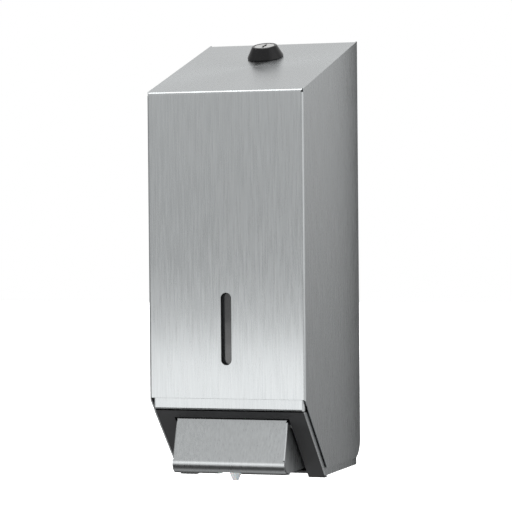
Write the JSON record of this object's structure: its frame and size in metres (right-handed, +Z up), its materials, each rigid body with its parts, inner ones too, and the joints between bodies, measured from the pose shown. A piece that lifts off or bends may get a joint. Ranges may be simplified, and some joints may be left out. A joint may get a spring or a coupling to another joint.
{
  "type": "wall mounted soap dispenser",
  "caption": "Wall mounted soap dispenser with a brushed steel hinged cover, push lever, piston pump, refillable reservoir and cam lock.",
  "frame": {"origin": "centre of the four wall screw holes, on the back plate's rear face", "axes": "+X right as seen from the front, +Y out of the back plate's rear face into the wall, +Z up"},
  "size_m": [0.105, 0.125, 0.2876],
  "materials": {
    "brushed_steel": "stainless steel with a vertical brushed grain",
    "plain_steel": "mill finish stainless sheet",
    "bright_steel": "bright turned steel",
    "spring_steel": "drawn spring wire",
    "zinc": "zinc plated",
    "plug_steel": "satin turned face",
    "gloss_black": "gloss black",
    "black_plastic": "fine textured charcoal moulding",
    "lid_plastic": "dark grey moulding",
    "smoked_plastic": "smoke grey blow moulding",
    "natural_plastic": "natural polypropylene",
    "white_plastic": "white acetal",
    "nozzle_plastic": "milky translucent polyethylene",
    "seal_rubber": "black nitrile"
  },
  "bodies": {
    "base": {"back_plate": "plain_steel", "base_shell": "brushed_steel", "base_rivets": "bright_steel", "hinge_bushes": "black_plastic", "keeper_bracket": "plain_steel", "front_frame": "black_plastic", "pump_bracket": "black_plastic", "bracket_screws": "bright_steel", "floor_screws": "bright_steel", "pump_cylinder": "natural_plastic", "cylinder_cap": "white_plastic", "pump_strap": "plain_steel", "strap_screws": "bright_steel", "inlet_ball": "bright_steel", "inlet_o_ring": "seal_rubber", "pump_spring": "spring_steel", "pivot_rod": "bright_steel", "rod_clips": "zinc", "reservoir": "smoked_plastic", "mouth_collar": "lid_plastic", "reservoir_rail": "lid_plastic", "reservoir_holder": "black_plastic", "holder_rivets": "bright_steel", "lid_pin": "bright_steel"},
    "cover": {"cover_shell": "brushed_steel", "hinge_studs": "bright_steel", "lock_bezel": "gloss_black", "lock_barrel": "zinc", "lock_washer": "bright_steel", "lock_nut": "zinc"},
    "lock": {"lock_plug": "plug_steel", "lock_cam": "zinc", "cam_screw": "bright_steel"},
    "lever": {"lever_face": "brushed_steel", "lever_carrier": "black_plastic", "carrier_nuts": "zinc"},
    "plunger": {"plunger": "white_plastic", "piston_ring": "seal_rubber", "outlet_ball": "bright_steel", "nozzle": "nozzle_plastic"},
    "lid": {"refill_lid": "lid_plastic", "lid_gasket": "seal_rubber"}
  },
  "joints": [
    {"name": "cover_hinge", "type": "hinge", "parent": "base", "child": "cover", "pos_m": [0, -0.0135, -0.1345], "axis": [1, 0, 0], "range_deg": [0, 90]},
    {"name": "lock_turn", "type": "hinge", "parent": "cover", "child": "lock", "pos_m": [0, -0.0395, 0.1222], "axis": [0, 0.293, -0.9561], "range_deg": [0, 90]},
    {"name": "lever_pivot", "type": "hinge", "parent": "base", "child": "lever", "pos_m": [0, -0.10748, -0.1173], "axis": [1, 0, 0], "range_deg": [0, 20], "stiffness_Nm_per_rad": 0.15, "springref_deg": -17.19},
    {"name": "plunger_slide", "type": "slide", "parent": "base", "child": "plunger", "axis": [0, 1, 0], "range_m": [0, 0.0067], "deforming": ["pump_spring"]},
    {"name": "lid_hinge", "type": "hinge", "parent": "base", "child": "lid", "pos_m": [0, -0.056, 0.0516], "axis": [-1, 0, 0], "range_deg": [0, 95]}
  ],
  "couplings": [
    {"joint": "plunger_slide", "follows": "lever_pivot", "m_per_rad": 0.019}
  ]
}
